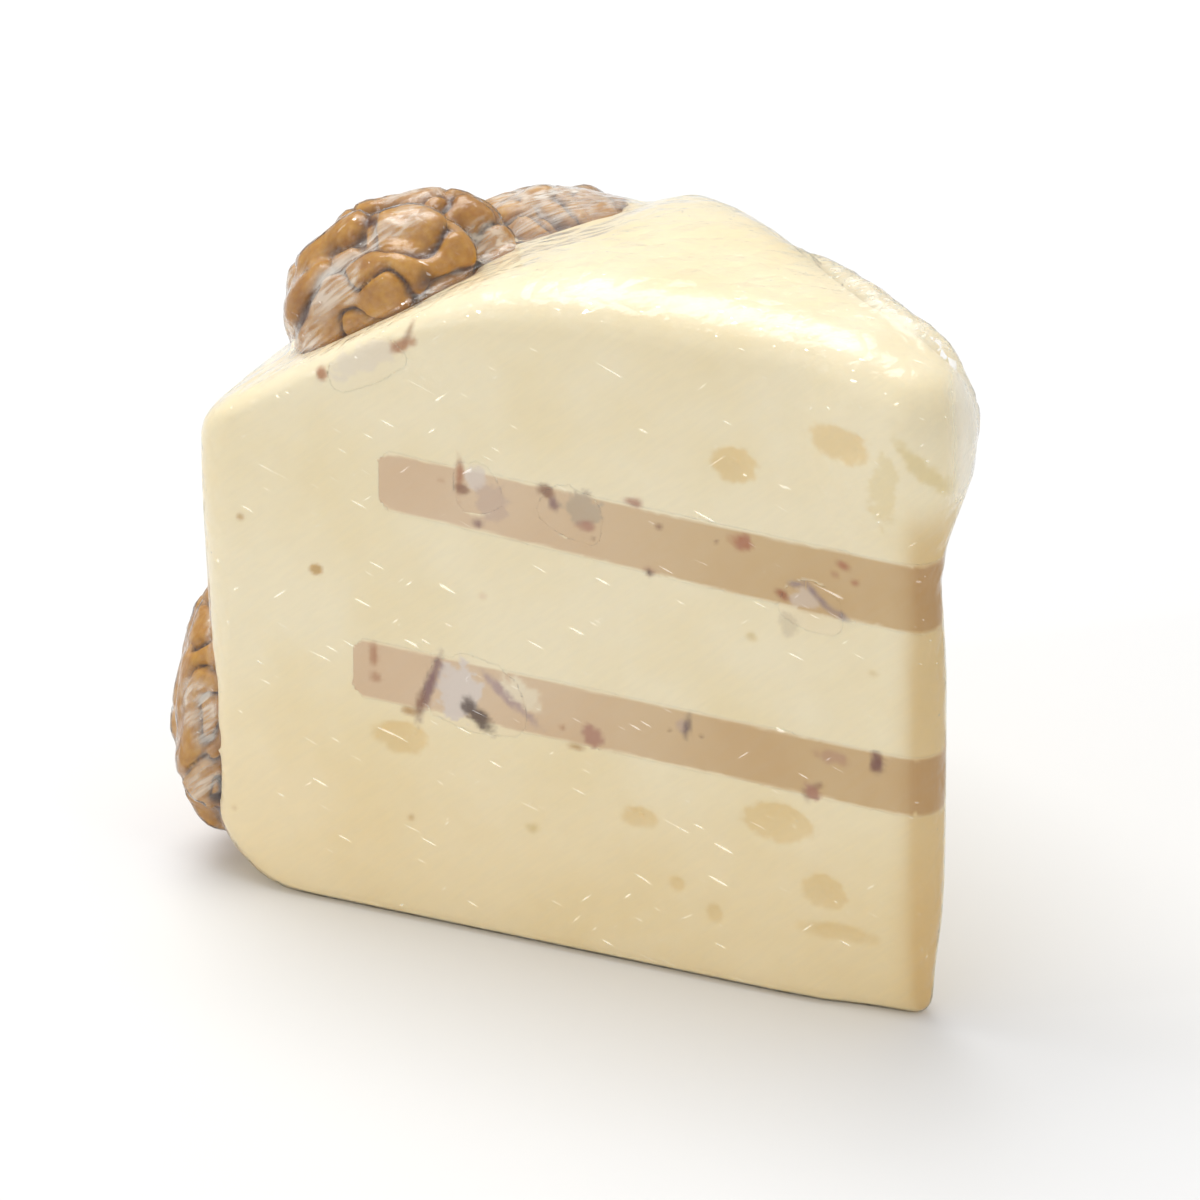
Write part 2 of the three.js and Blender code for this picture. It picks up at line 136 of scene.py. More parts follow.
def remeshed(bm, voxel, rounds):
    """One even skin round everything in a bmesh, smoothed a number of rounds."""
    piece = as_object(bm, "remesh")
    remesh = piece.modifiers.new("voxels", "REMESH")
    remesh.mode = "VOXEL"
    remesh.voxel_size = voxel
    smooth = piece.modifiers.new("smooth", "SMOOTH")
    smooth.factor = 0.5
    smooth.iterations = rounds
    return baked(piece)


def finished(bm, name, material, nodes, crease=180):
    """Makes a bmesh a piece of the object that stands for some of its solids."""
    piece = as_object(bm, name, crease)
    piece.data.materials.append(material)
    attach(piece, "root")
    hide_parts(*nodes)
    print(name, len(piece.data.polygons), "faces")
    return piece


# %% [markdown]
# ## Colours and nodes
# Colours are written as sRGB hex values, and Blender wants linear ones. One function adds any node with
# its settings, its values and its links: an input is named, or an underscore and its number.

# %% Colour and node helpers
def linear(hex_colour, alpha=1.0):
    parts = [int(hex_colour[i : i + 2], 16) / 255 for i in (0, 2, 4)]
    return (*[c / 12.92 if c <= 0.04045 else ((c + 0.055) / 1.055) ** 2.4 for c in parts], alpha)


def add_node(material, kind, settings=None, **inputs):
    """Adds a node. A link is given as an output socket, anything else is a value."""
    tree = material.node_tree
    node = tree.nodes.new(kind)
    for key, value in (settings or {}).items():
        setattr(node, key, value)
    for key, value in inputs.items():
        socket = node.inputs[int(key[1:])] if key[1:].isdigit() else node.inputs[key.replace("_", " ")]
        if isinstance(value, bpy.types.NodeSocket):
            tree.links.new(value, socket)
        else:
            socket.default_value = value
    return node


def new_material(name):
    material = bpy.data.materials.new(name)
    material.use_nodes = True
    material.node_tree.nodes.clear()
    return material


MIX_COLOURS = {"data_type": "RGBA", "blend_type": "MIX"}
MULTIPLY_COLOURS = {"data_type": "RGBA", "blend_type": "MULTIPLY"}

# %% [markdown]
# ## Cream cheese and nut cheese
# Soft processed cheese is dense and pale: light goes a little way into it and comes out warmer. Here it
# goes only a third of a millimetre deep, because the white cheese gets no light behind the discs and
# nuts that lie on it, and deeper light would draw a dark line round them. Under film the cheese looks
# smooth, with broad clouds of slightly yellower cheese. The colour itself is painted on each piece as an
# attribute, so that smears and nut bits run from one piece into the next.

# %% Cheese materials
CREAM_CLOUD = 14 * MM
CREAM_GRAIN = 0.7 * MM


def cheese_material(name, cloud_hex, cloud_share, roughness, depth, glow=1.0):
    material = new_material(name)
    where = add_node(material, "ShaderNodeTexCoord").outputs["Object"]
    paint = add_node(material, "ShaderNodeAttribute", {"attribute_name": "paint"}).outputs["Color"]
    cloud = add_node(material, "ShaderNodeTexNoise", Vector=where, Scale=1 / CREAM_CLOUD, Detail=3.0)
    share = add_node(
        material, "ShaderNodeMapRange", _0=cloud.outputs[0], _1=0.4, _2=0.7, _3=0.0, _4=cloud_share
    )
    colour = add_node(
        material, "ShaderNodeMix", MULTIPLY_COLOURS,
        _0=share.outputs[0], _6=paint, _7=linear(cloud_hex),
    ).outputs[2]
    grain = add_node(material, "ShaderNodeTexNoise", Vector=where, Scale=1 / CREAM_GRAIN, Detail=4.0)
    bump = add_node(
        material, "ShaderNodeBump", Height=grain.outputs[0], Strength=0.05, Distance=0.1 * MM
    )
    shader = add_node(
        material, "ShaderNodeBsdfPrincipled", {"subsurface_method": "BURLEY"},
        Base_Color=colour, Roughness=roughness, IOR=1.45, Subsurface_Weight=glow,
        Subsurface_Radius=(1.0, 0.72, 0.42), Subsurface_Scale=depth, Normal=bump.outputs[0],
    )
    add_node(material, "ShaderNodeOutputMaterial", Surface=shader.outputs[0])
    return material


# Soft and smooth: a pale cream that glows a little, with broad soft highlights on the dome.
CREAM_CHEESE = cheese_material("cream cheese, soft and smooth", "F4E8C4", 0.35, 0.42, 0.3 * MM)
# Fine grain: a flat tan that stays duller than the cream beside it. It is too thin here to glow.
NUT_CHEESE = cheese_material("tan nut cheese, fine grain", "EFDCC2", 0.4, 0.48, 0.5 * MM, 0.0)
# Wiped over with cheese: purple, brown and pale flesh, all veiled and without a shine.
NUT_FLESH = cheese_material("cut walnut, wiped over with cheese", "EFDCC2", 0.4, 0.5, 0.5 * MM, 0.0)

# %% [markdown]
# ## Paint
# Every mark on the front cut has a place on the cut, a size and a tilt: distance from the axis, height,
# width, height of the mark in millimetres, tilt in degrees, colour and strength. A vertex on a cut takes
# the colour of its piece and then of each mark that covers it, softly, because film blurs what is
# under it. The back cut, which is hidden, gets a few of the same kind.

# %% Colours and marks
# The pit colour is painted shade: a darker, yellower cream for the inside of the air holes in the cuts.
HOST = {"cream": "F4E6C2", "cream_low": "F3DEB0", "tan": "DCC09D", "tan_low": "D0B07D", "pit": "E9CD94"}
TIP_SHADE = (0.80, 0.67, 0.47)  # what is left of red, green and blue behind the folds at the tip
NUT_COLOURS = {
    "rust": "AE7248", "bark": "8A5A3C", "bark_dark": "4F3323", "amber": "B0803F", "amber_dark": "A05A28",
    "plum": "80585A", "plum_pale": "AE9390", "plum_dark": "5E4444", "plum_grey": "8D7984",
    "garnet": "71372F", "rose": "AE7862", "rose_pale": "DDBB98", "copper": "AF6B45",
    "flesh": "DCCFC4", "flesh_grey": "B7A58C", "cream": "EFE2C4", "honey": "C49A55", "honey_pale": "D9BF80",
    # fold is not a nut colour: it is painted shade for the creases of the bulge at the tip.
    "fold": "DDC583",
}
FRONT_MARKS = [
    (69.5, 30.2, 0.9, 2.3, 0, "rust", 0.75), (69.3, 27.6, 1.1, 1.2, 0, "rust", 0.6),
    (59.9, 27.8, 4.6, 6.8, -10, "flesh", 0.9), (63.1, 27.7, 1.1, 7.4, -18, "plum", 0.9),
    (64.2, 25.4, 0.9, 2.8, -16, "bark", 0.8), (65.5, 24.4, 1.4, 0.9, 0, "amber", 0.8),
    (57.7, 25.6, 1.7, 4.8, 48, "bark_dark", 0.9), (54.2, 28.4, 1.2, 7.4, 53, "plum_pale", 0.85),
    (52.6, 29.2, 4.6, 2.6, -32, "cream", 0.8), (44.5, 25.8, 2.3, 2.3, 0, "rose", 0.85),
    (46.3, 24.2, 1.4, 0.6, 0, "amber", 0.8), (47.9, 26.1, 0.5, 0.5, 0, "rust", 0.7),
    (34.2, 29.1, 1.4, 1.4, 0, "plum_pale", 0.5), (33.7, 29.2, 0.7, 2.1, -10, "plum_dark", 0.9),
    (12.1, 29.4, 1.3, 2.5, 0, "garnet", 0.9), (17.1, 29.0, 3.7, 1.4, -8, "rose", 0.5),
    (19.5, 24.6, 1.7, 1.8, 0, "rose", 0.9), (18.8, 25.4, 1.0, 0.6, 30, "bark", 0.7),
    (20.2, 24.0, 0.5, 1.2, 20, "bark", 0.5), (32.0, 28.3, 0.3, 0.3, 0, "bark", 0.8),
    (35.7, 28.3, 0.3, 0.3, 0, "bark", 0.7),
    (59.6, 52.7, 0.8, 3.7, 0, "rust", 0.9), (59.4, 51.2, 1.4, 1.2, 0, "bark", 0.8),
    (57.7, 52.9, 2.5, 2.5, 0, "flesh", 0.7), (55.9, 50.3, 3.4, 4.2, 0, "plum_pale", 0.35),
    (57.5, 47.6, 1.0, 0.8, 0, "plum", 0.8), (49.8, 53.0, 1.5, 1.8, 0, "bark", 0.85),
    (45.6, 51.7, 4.3, 3.5, 0, "flesh_grey", 0.75), (48.9, 51.7, 1.0, 1.6, 0, "plum", 0.8),
    (45.1, 49.9, 2.1, 1.0, 0, "rose", 0.8), (39.9, 53.7, 2.1, 0.9, 0, "rose", 0.85),
    (36.9, 51.5, 0.5, 0.5, 0, "bark", 0.8), (38.0, 46.2, 1.1, 1.0, 0, "rose", 0.5),
    (38.0, 46.0, 0.6, 0.6, 0, "bark_dark", 0.9), (30.4, 51.1, 0.3, 0.3, 0, "bark", 0.8),
    (28.3, 51.8, 1.8, 1.6, 0, "copper", 0.4), (27.2, 51.6, 1.7, 2.0, 0, "copper", 0.9),
    (20.6, 46.6, 3.2, 2.1, 0, "flesh", 0.6), (22.1, 43.1, 2.1, 2.5, 0, "flesh_grey", 0.35),
    (22.9, 46.5, 1.4, 0.9, -25, "amber_dark", 0.95), (21.2, 48.1, 1.7, 0.6, 8, "plum_grey", 0.8),
    (19.7, 47.7, 1.6, 0.6, -48, "plum_grey", 0.85), (18.5, 46.6, 2.3, 0.6, -47, "plum_grey", 0.8),
    (16.6, 45.5, 2.1, 0.6, -28, "plum_grey", 0.7), (16.2, 51.0, 1.4, 0.9, -20, "copper", 0.85),
    (14.9, 49.3, 0.8, 0.6, 0, "copper", 0.9), (17.1, 49.9, 0.7, 0.6, 0, "copper", 0.6),
    (44.3, 48.6, 0.3, 0.3, 0, "bark", 0.8), (61.7, 51.8, 0.5, 0.3, 0, "rust", 0.5),
    (76.1, 38.6, 1.3, 1.3, 0, "honey", 0.9), (84.8, 42.9, 0.6, 0.6, 0, "honey", 0.8),
    (57.0, 39.4, 0.7, 0.7, 0, "rose_pale", 0.5), (26.5, 41.0, 1.1, 0.9, 0, "honey_pale", 0.7),
    (12.7, 39.6, 0.8, 0.5, 0, "honey_pale", 0.6), (65.3, 12.1, 0.6, 0.6, 0, "honey", 0.6),
    (51.2, 13.8, 1.3, 1.2, 0, "honey_pale", 0.8), (85.8, 8.8, 0.5, 0.5, 0, "honey", 0.5),
    (70.6, 63.9, 9.6, 2.8, 32, "flesh", 0.4), (75.4, 61.2, 1.3, 1.6, -20, "rust", 0.9),
    (66.2, 66.3, 3.0, 1.4, 32, "rust", 0.85), (65.6, 67.7, 0.6, 1.8, -15, "bark", 0.7),
    # The two fold marks are painted shade in the creases of the bulge at the tip.
    (6.3, 64.7, 1.7, 8.4, 38, "fold", 0.6), (10.5, 62.0, 3.2, 8.5, -12, "fold", 0.4),
]
BACK_MARKS = [
    (37.0, 29.0, 9.0, 4.6, 10, "flesh", 0.8), (41.6, 28.6, 1.2, 5.0, -12, "bark", 0.85),
    (34.0, 26.6, 2.4, 1.6, 20, "bark_dark", 0.8), (61.0, 50.0, 6.0, 3.2, -16, "flesh_grey", 0.8),
    (63.8, 50.6, 1.0, 3.4, -20, "rust", 0.9), (52.0, 27.0, 1.8, 1.6, 0, "rose", 0.8),
    (30.0, 50.0, 1.6, 1.8, 0, "copper", 0.8), (45.0, 52.0, 0.8, 0.8, 0, "bark", 0.8),
    (24.0, 28.0, 1.0, 2.0, 0, "plum_dark", 0.8), (70.0, 36.0, 1.2, 1.1, 0, "honey", 0.8),
]
# Air holes in the cuts: each is painted darker and yellower, as painted shade inside the hole.
PITS = {
    "front": [
        (15.9, 65.8, 7.4, 3.9), (28.5, 60.2, 5.2, 4.0), (66.4, 21.1, 6.2, 3.7), (23.4, 20.2, 8.1, 4.4),
        (18.1, 13.2, 4.9, 4.0), (16.5, 8.7, 8.4, 1.9), (39.1, 17.5, 3.9, 2.3), (34.8, 10.7, 1.8, 1.7),
        (30.6, 8.2, 1.8, 2.1),
    ],
    "back": [(28, 63, 6.5, 4), (52, 39, 5, 3), (44, 14, 7, 3.8), (66, 16, 4, 3.4)],
}
MARKS = {
    "front": [(*pit, 0, HOST["pit"], 0.8) for pit in PITS["front"]]
    + [(*mark[:5], NUT_COLOURS[mark[5]], mark[6]) for mark in FRONT_MARKS],
    "back": [(*pit, 0, HOST["pit"], 0.8) for pit in PITS["back"]]
    + [(*mark[:5], NUT_COLOURS[mark[5]], mark[6]) for mark in BACK_MARKS],
}
MARK_BLUR = 0.34  # how far film and cheese blur the edge of a mark, in millimetres
print(len(MARKS["front"]), "marks on the front cut,", len(MARKS["back"]), "on the back cut")

# %% Painting a piece
PIT_SHADE_COLOUR = Vector(linear(HOST["pit"])[:3])
WOBBLE = 0.5  # how far the edge of a mark wanders, in shares of its size
SMALL_MARK = 1.6  # millimetres; a pit wider than this has a calmer edge
CALM = 0.4
FACING_CUT = 0.35  # a vertex belongs to a cut from this cosine between its normal and the cut's


def smooth_step(low, high, value):
    """0 at low, 1 at high and a smooth rise between. Low may be the larger one."""
    share = min(1.0, max(0.0, (value - low) / (high - low)))
    return share * share * (3 - 2 * share)


def mark_cover(mark, along, up):
    """How much of a mark covers a point of its cut, from 0 to 1."""
    middle, level, width, height, tilt = mark[:5]
    reach = max(width, height)
    if abs(along - middle) > reach or abs(up - level) > reach:
        return 0.0
    turn = math.radians(tilt)
    x, y = middle - along, up - level
    u = (x * math.cos(turn) + y * math.sin(turn)) / (width / 2)
    v = (-x * math.sin(turn) + y * math.cos(turn)) / (height / 2)
    grain = noise.noise(Vector((along, up, 3 * middle)) * 0.9)
    grain += 0.5 * noise.noise(Vector((along, up, level)) * 2.3)
    narrow = min(width, height)
    wobble = WOBBLE if narrow < SMALL_MARK or mark[5] != PIT_SHADE_COLOUR else CALM * WOBBLE
    edge = (math.hypot(u, v) - 1 - wobble * grain) * narrow / 2
    return 1 - smooth_step(-MARK_BLUR, MARK_BLUR, edge)


TIP_SIDE = Vector((math.cos(WEDGE_ANGLE / 2), -math.sin(WEDGE_ANGLE / 2), 0))


def tip_shade(place, normal):
    """How much of the tip's shade falls on a place: only round the tip, and below its bunch of film."""
    shade = smooth_step(0.1, 0.8, normal.dot(TIP_SIDE))
    shade *= smooth_step(62 * MM, 54 * MM, place.z)
    return shade * smooth_step(12 * MM, 8 * MM, (place - AXIS).xy.length)


def painted(piece, host_colour):
    """Paints a piece: host_colour(place, normal) gives each vertex its first colour."""
    marks = {
        cut: [(*mark[:5], Vector(linear(mark[5])[:3]), mark[6]) for mark in MARKS[cut]] for cut in MARKS
    }
    paint = piece.data.color_attributes.new("paint", "FLOAT_COLOR", "POINT")
    for index, vertex in enumerate(piece.data.vertices):
        colour = Vector(host_colour(vertex.co, vertex.normal)[:3])
        for cut, out in CUT_OUT.items():
            if vertex.normal.dot(out) < FACING_CUT:
                continue
            along, up = on_cut(vertex.co, cut)
            for mark in marks[cut]:
                cover = mark_cover(mark, along, up)
                if cover > 0:
                    colour = colour.lerp(mark[5], cover * mark[6])
        shade = tip_shade(vertex.co, vertex.normal)
        colour = Vector([c * (1 - shade * (1 - left)) for c, left in zip(colour, TIP_SHADE)])
        paint.data[index].color = (*colour, 1.0)


# %% [markdown]
# ## The white cheese
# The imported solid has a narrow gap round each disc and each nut, which isn't there in cheese. So the
# discs and the cut nuts, each grown a little along the cuts, are joined with it into one skin. The even
# mesh that comes out is smoothed, which rounds the facets, and made finer where marks and pits lie.

# %% Fill the gaps
SEAM = 0.45 * MM
CUT_NUTS = {
    "front": ["walnut_in_lower_layer", "walnut_in_upper_layer", "walnut_in_upper_rim",
              "walnut_in_upper_tip", "walnut_in_shoulder"],
    "back": ["walnut_in_lower_back", "walnut_in_upper_back"],
}
TAN_LAYERS = ["tan_layer_lower", "tan_layer_upper"]


def grown_along_cut(name, cut):
    """A cut nut a little larger along its cut, with its cut face where it was."""
    bm = merged_copy(name)
    bm.normal_update()
    out = CUT_OUT[cut]
    moves = []
    for vert in bm.verts:
        aside = vert.normal - out * vert.normal.dot(out)
        moves.append(aside.normalized() * SEAM if aside.length > 0.3 else Vector())
    for vert, move in zip(bm.verts, moves):
        vert.co += move
    return bm


def add_mesh(bm, other):
    mesh = bpy.data.meshes.new("part")
    other.to_mesh(mesh)
    other.free()
    bm.from_mesh(mesh)
    bpy.data.meshes.remove(mesh)


body = merged_copy("white_cheese")
for layer in TAN_LAYERS:
    for shift in ((0, 0, SEAM), (0, 0, -SEAM), (-SEAM, 0, 0)):
        copy = merged_copy(layer)
        bmesh.ops.translate(copy, verts=copy.verts, vec=shift)
        add_mesh(body, copy)
for cut, names in CUT_NUTS.items():
    for name in names:
        add_mesh(body, grown_along_cut(name, cut))

# %% Remesh and refine the cheese
CHEESE_VOXEL = 0.59 * MM
CHEESE_SMOOTHING = 14
FLOOR_CLEAR = 0.2 * MM  # room for the film under the base

cheese_bm = remeshed(body, CHEESE_VOXEL, CHEESE_SMOOTHING)
for vert in cheese_bm.verts:
    vert.co.z = max(vert.co.z, FLOOR_CLEAR)


def near_mark(place, normal):
    for cut, out in CUT_OUT.items():
        if normal.dot(out) < 0.6:
            continue
        along, up = on_cut(place, cut)
        for middle, level, width, height, *_ in MARKS[cut]:
            reach = 0.6 * max(width, height) + 0.5
            if math.hypot(along - middle, up - level) < reach:
                return True
    return False


near = [f for f in cheese_bm.faces if near_mark(f.calc_center_median(), f.normal)]
near_edges = list({edge for face in near for edge in face.edges})
bmesh.ops.subdivide_edges(cheese_bm, edges=near_edges, cuts=1, use_grid_fill=True)
cheese_bm.normal_update()
CHEESE_TREE = BVHTree.FromBMesh(cheese_bm)
cheese = finished(cheese_bm, "white_cheese_body", CREAM_CHEESE, ["white_cheese"])

# %% Cream colours
CREAM = Vector(linear(HOST["cream"])[:3])
CREAM_LOW = Vector(linear(HOST["cream_low"])[:3])


def cream_colour(place, normal):
    """The cheese is a little yellower towards its foot."""
    return CREAM.lerp(CREAM_LOW, smooth_step(34 * MM, 4 * MM, place.z))


# %% [markdown]
# ## The tan discs
# Each disc shows as a band on both cuts and round the tip. Its copy is sliced into a fine grid, so that
# paint has points to hold on to, and its outer skin is laid on the smoothed white cheese, a hair proud
# but with its rim just under the skin, so that no step shows. The band's edge fades into the white over
# a third of a millimetre and wanders a little. Behind the discs the white cheese is painted tan too.

# %% Lay a piece on the cheese
PROUD = 0.02 * MM
NEAR_SKIN = 0.6 * MM
RIM_FACING = 0.9  # a vertex that faces less straight out than this is on the rim of a piece


def laid_on_cheese(bm, proud):
    """Lays a piece on the skin of the white cheese, a hair proud, with its rim as far under it."""
    bm.normal_update()
    for vert in bm.verts:
        place, normal, _, distance = CHEESE_TREE.find_nearest(vert.co)
        facing = vert.normal.dot(normal)
        if distance < NEAR_SKIN and facing > 0.3:
            vert.co = place + normal * (proud if facing > RIM_FACING else -proud)


def sliced(bm, step_along, step_up):
    """Cuts a bmesh into a grid of upright and level slices."""
    low = Vector([min(v.co[i] for v in bm.verts) for i in range(3)])
    high = Vector([max(v.co[i] for v in bm.verts) for i in range(3)])
    for axis, step in ((0, step_along), (2, step_up)):
        normal = Vector((0, 0, 0))
        normal[axis] = 1
        for i in range(1, math.ceil((high[axis] - low[axis]) / step)):
            place = low + normal * step * i
            everything = bm.verts[:] + bm.edges[:] + bm.faces[:]
            bmesh.ops.bisect_plane(bm, geom=everything, plane_co=place, plane_no=normal)


# %% The tan discs
BAND_FADE = 0.35  # millimetres
BAND_COLUMN = 0.6 * MM  # the band's height is kept for steps of this distance from the axis
BEHIND_CUT = 0.5 * MM  # what lies further back than this is not on the front cut
BRIDGED = 8  # columns to either side that are searched for the band's edges at a nut
BEHIND_INSET = 0.5  # millimetres by which the tan behind a disc is narrower than the disc
EMPTY_SPAN = (1e9, -1e9)
SLICE_ALONG, SLICE_UP = 0.45 * MM, 0.3 * MM
TIP_SLICE = 0.3 * MM
TIP_SLICES = 15
TAN = Vector(linear(HOST["tan"])[:3])
TAN_LOW = Vector(linear(HOST["tan_low"])[:3])


def band_colour(bm, reach=0, inset=0.1):
    """Tan in the band, the colour of the white cheese from its edges to the inset, in millimetres.

    With a reach, the edges are bridged over a hole in the band.
    """
    columns = {}
    for co in [v.co for v in bm.verts]:
        key = (round((co - AXIS).xy.length / BAND_COLUMN), co.y - AXIS.y > BEHIND_CUT)
        low, high = columns.get(key, EMPTY_SPAN)
        columns[key] = (min(low, co.z), max(high, co.z))

    def colour(place, normal):
        column = round((place - AXIS).xy.length / BAND_COLUMN)
        hidden = place.y - AXIS.y > BEHIND_CUT
        spans = [columns.get((column + i, hidden), EMPTY_SPAN) for i in range(-reach, reach + 1)]
        low, high = min(span[0] for span in spans), max(span[1] for span in spans)
        depth = min(place.z - low, high - place.z) / MM
        wander = 0.25 * noise.noise(place / (3 * MM)) + 0.12 * noise.noise(place / MM)
        share = smooth_step(inset, inset + BAND_FADE, depth - max(0.0, wander))
        tan = TAN.lerp(TAN_LOW, smooth_step(60 * MM, 20 * MM, (place - AXIS).xy.length))
        return cream_colour(place, normal).lerp(tan, share)

    return colour


nut_hosts = {}  # what lies round the cut nuts of each disc
inner_hosts = {}  # what lies behind each disc
disc_reach = {}
for layer in TAN_LAYERS:
    disc_bm = merged_copy(layer)
    sliced(disc_bm, SLICE_ALONG, SLICE_UP)
    for i in range(1, TIP_SLICES + 1):  # the first slices are too wide where the skin curves round the tip
        everything = disc_bm.verts[:] + disc_bm.edges[:] + disc_bm.faces[:]
        place = AXIS + Vector((0, TIP_SLICE * i, 0))
        bmesh.ops.bisect_plane(disc_bm, geom=everything, plane_co=place, plane_no=(0, 1, 0))
    laid_on_cheese(disc_bm, PROUD)
    bmesh.ops.triangulate(disc_bm, faces=[f for f in disc_bm.faces if len(f.verts) > 4])
    host = band_colour(disc_bm)
    nut_hosts[layer] = band_colour(disc_bm, BRIDGED)
    inner_hosts[layer] = band_colour(disc_bm, BRIDGED, BEHIND_INSET)
    disc_reach[layer] = max((v.co - AXIS).xy.length for v in disc_bm.verts)
    disc = finished(disc_bm, layer.replace("layer", "disc"), NUT_CHEESE, [layer], 35)
    painted(disc, host)

# %% Paint the white cheese
BETWEEN_DISCS = 40 * MM


def cheese_colour(place, normal):
    """Cream, and tan behind the discs, where it shows in the seams round their nuts."""
    layer = "tan_layer_lower" if place.z < BETWEEN_DISCS else "tan_layer_upper"
    if (place - AXIS).xy.length > disc_reach[layer] - 1 * MM:
        return cream_colour(place, normal)
    return inner_hosts[layer](place, normal)


painted(cheese, cheese_colour)

# %% [markdown]
# ## Walnut pieces in the cuts
# The knife left them flush with the cheese, pale inside with brown or purple skin, and half wiped over
# with cheese. Each copy is sliced finely, laid on the cheese and painted with the same marks. Its rim
# takes the colour of what is round it.

# %% Cut walnut pieces
NUT_PROUD = 0.03 * MM
NUT_SLICE = 0.3 * MM

for cut, names in CUT_NUTS.items():
    for name in names:
        nut_bm = grown_along_cut(name, cut)
        sliced(nut_bm, NUT_SLICE, NUT_SLICE)
        laid_on_cheese(nut_bm, NUT_PROUD)
        bmesh.ops.triangulate(nut_bm, faces=[f for f in nut_bm.faces if len(f.verts) > 4])
        layer = "tan_layer_lower" if "lower" in name else "tan_layer_upper"
        nut = finished(nut_bm, name.replace("_in_", "_piece_"), NUT_FLESH, [name], 35)
        painted(nut, cream_colour if name == "walnut_in_shoulder" else nut_hosts[layer])

# %% [markdown]
# ## Walnut halves
# A walnut's folds are smooth swollen lobes with narrow furrows between them. The imported half has the
# large folds, and here its copy is made finer and gets the small ones. The skin is golden brown on the
# lobes, and the furrows are painted dark brown as shade, so the depth of a furrow is kept as an attribute.

# %% Walnut skin
def walnut_material():
    # Golden and a little oily: the lobes have small soft highlights, and the furrows are painted dark brown
    # as shade.
    material = new_material("walnut skin, golden brown")
    where = add_node(material, "ShaderNodeTexCoord").outputs["Object"]
    fold = add_node(material, "ShaderNodeAttribute", {"attribute_name": "fold"}).outputs["Fac"]
    blotch = add_node(material, "ShaderNodeTexNoise", Vector=where, Scale=1 / (5 * MM), Detail=4.0)
    vein = add_node(material, "ShaderNodeTexNoise", Vector=where, Scale=1 / (0.8 * MM), Detail=6.0)
    skin = add_node(
        material, "ShaderNodeMix", MIX_COLOURS,
        _0=blotch.outputs[0], _6=linear("945E1C"), _7=linear("D6A23E"),
    ).outputs[2]
    # Painted shade: the skin goes dark brown in the furrows, by the depth of the fold.
    clear_of_furrow_shade = add_node(material, "ShaderNodeMapRange", _0=fold, _1=0.05, _2=0.6, _3=0.0, _4=1.0)
    deep = add_node(
        material, "ShaderNodeMix", MIX_COLOURS, _0=clear_of_furrow_shade.outputs[0], _6=linear("5A3212"), _7=skin
    ).outputs[2]
    streak = add_node(
        material, "ShaderNodeMapRange", _0=vein.outputs[0], _1=0.35, _2=0.65, _3=0.0, _4=0.35
    )
    colour = add_node(
        material, "ShaderNodeMix", MULTIPLY_COLOURS,
        _0=streak.outputs[0], _6=deep, _7=linear("C08A50"),
    ).outputs[2]
    bump = add_node(material, "ShaderNodeBump", Height=vein.outputs[0], Strength=0.3, Distance=0.15 * MM)
    shader = add_node(
        material, "ShaderNodeBsdfPrincipled",
        Base_Color=colour, Roughness=0.4, IOR=1.47, Subsurface_Weight=0.15,
        Subsurface_Radius=(1.0, 0.5, 0.25), Subsurface_Scale=1.0 * MM, Normal=bump.outputs[0],
    )
    add_node(material, "ShaderNodeOutputMaterial", Surface=shader.outputs[0])
    return material


WALNUT_SKIN = walnut_material()

# %% Walnut halves
HALVES = ["walnut_shoulder_front", "walnut_shoulder_back", "walnut_rim_front", "walnut_rim_back"]
SMALL_FOLD = 4.2 * MM
FURROW = 0.12  # half the width of a furrow, in shares of the noise that draws it
FOLD_DEPTH = 1.1 * MM
MEAN_FOLD = 0.8  # lobes rise from here and furrows sink, so a half keeps its size
WALNUT_VOXEL = 0.4 * MM
WALNUT_SMOOTHING = 5
walnut_trees = []


def fold_height(place):
    """1 on a lobe and 0 in a furrow. Furrows run where a noise is near nothing, so they wander."""
    warp = noise.noise_vector(place / (7 * MM)) * 0.6
    return 1 - math.exp(-((noise.noise(place / SMALL_FOLD + warp) / FURROW) ** 2))


for name in HALVES:
    half_bm = merged_copy(name)
    bmesh.ops.subdivide_edges(half_bm, edges=half_bm.edges, cuts=2, use_grid_fill=True)
    half_bm = remeshed(half_bm, WALNUT_VOXEL, WALNUT_SMOOTHING)
    half_bm.normal_update()
    folds = [fold_height(v.co) for v in half_bm.verts]
    moves = [v.normal * FOLD_DEPTH * (fold - MEAN_FOLD) for v, fold in zip(half_bm.verts, folds)]
    for vert, move in zip(half_bm.verts, moves):
        vert.co += move
    walnut_trees.append(BVHTree.FromBMesh(half_bm))
    half = finished(half_bm, name.replace("walnut_", "walnut_half_"), WALNUT_SKIN, [name])
    fold_layer = half.data.attributes.new("fold", "FLOAT", "POINT")
    fold_layer.data.foreach_set("value", folds)

# %% [markdown]
# ## The film
# Stretch film touches the cheese nearly everywhere and bridges what is hollow: pits, the furrows of the
# nuts, and the space behind the bunch over the tip. It runs straight from the rear walnut to the crest,
# so a convex hull is put over those two. One even skin round everything, smoothed hard and pushed out a
# little, behaves like that. Where it stands off or is crumpled it looks whitish, so its distance to what
# is under it is kept as an attribute. Its creases are hair-thin glints, because a crease mirrors lamps
# that the film round it doesn't.

# %% Film skin
FILM_VOXEL = 0.75 * MM
FILM_SMOOTHING = 8
FILM_CLEAR = 0.2 * MM
BASE_CLEAR = 0.02 * MM  # between the film and what the wedge stands on
CREST = 0.4 * MM  # the crest is what lies within this of the cheese's highest place
CREST_FROM = 12 * MM  # and on the hidden side, from this far behind the front cut
NUT_TOP = 3.5 * MM


def tent(places):
    """A closed skin stretched over some places."""
    hull = bmesh.new()
    for place in places:
        hull.verts.new(place)
    spare = bmesh.ops.convex_hull(hull, input=hull.verts)["geom_interior"]
    bmesh.ops.delete(hull, geom=[v for v in spare if isinstance(v, bmesh.types.BMVert)], context="VERTS")
    return hull


